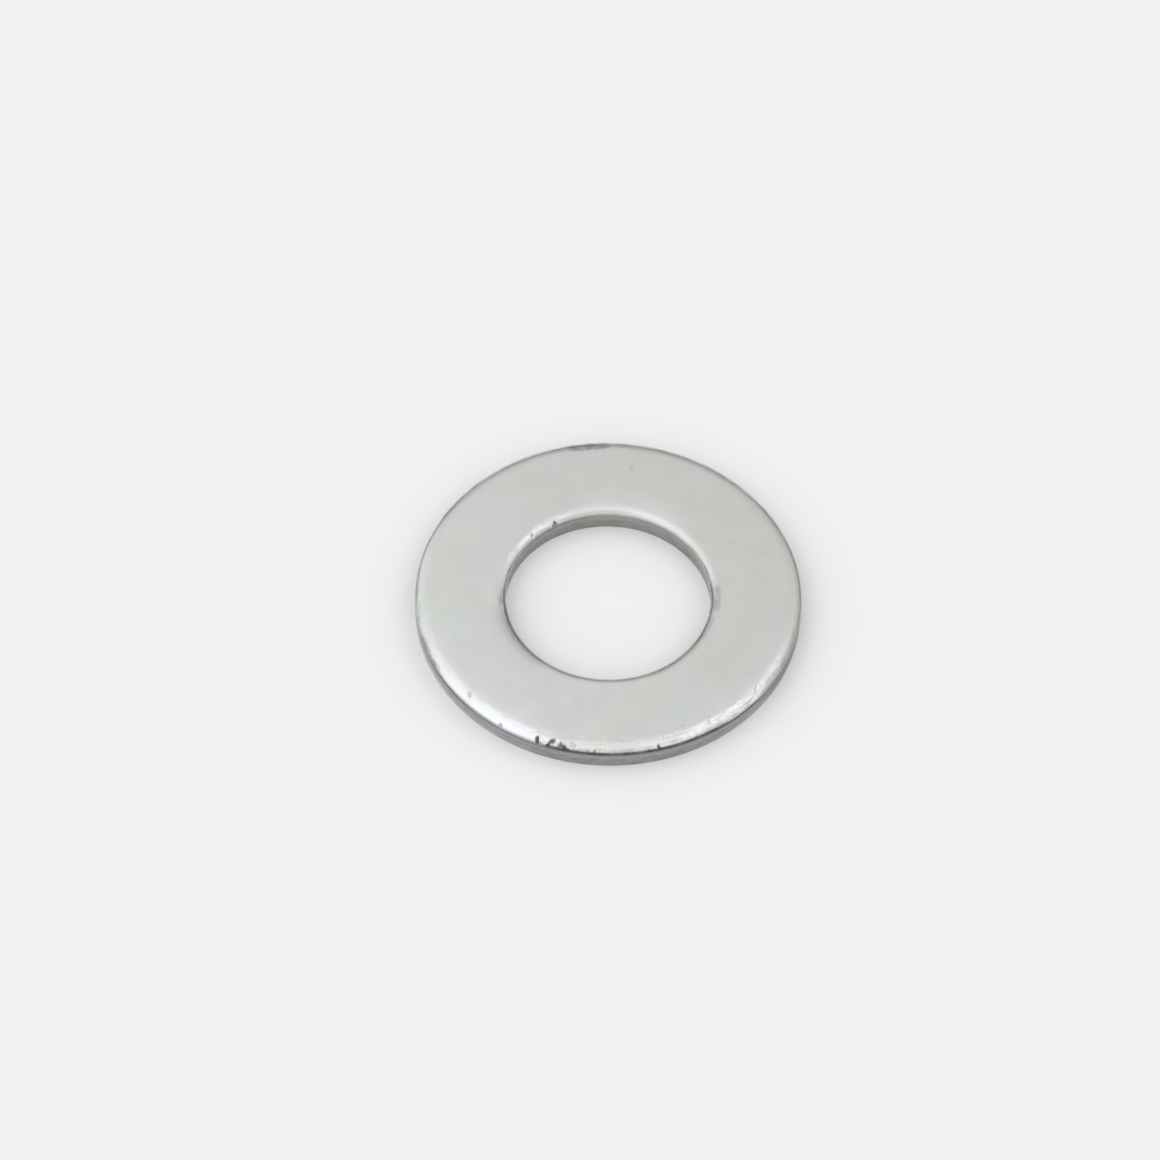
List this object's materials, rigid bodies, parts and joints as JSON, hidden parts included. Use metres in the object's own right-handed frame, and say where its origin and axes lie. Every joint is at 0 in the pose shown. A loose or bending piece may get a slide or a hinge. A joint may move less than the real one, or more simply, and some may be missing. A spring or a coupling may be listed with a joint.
{
  "type": "sealing washer",
  "caption": "Flat one-piece metal ring blanked from sheet, squeezed under a plug or bolt head to seal it; rolled top edges, sheared walls.",
  "frame": {"origin": "centre of the bore, on the flat underside", "axes": "+Z along the bore axis, from the flat underside up to the top face with the rolled edges; X and Y lie in the ring's plane"},
  "size_m": [0.023, 0.023, 0.0016],
  "materials": {
    "ring_metal": "satin rolled sheet, tumbled, with brighter rolled edges and duller sheared walls"
  },
  "bodies": {
    "root": {"sealing_ring": "ring_metal"}
  },
  "joints": []
}
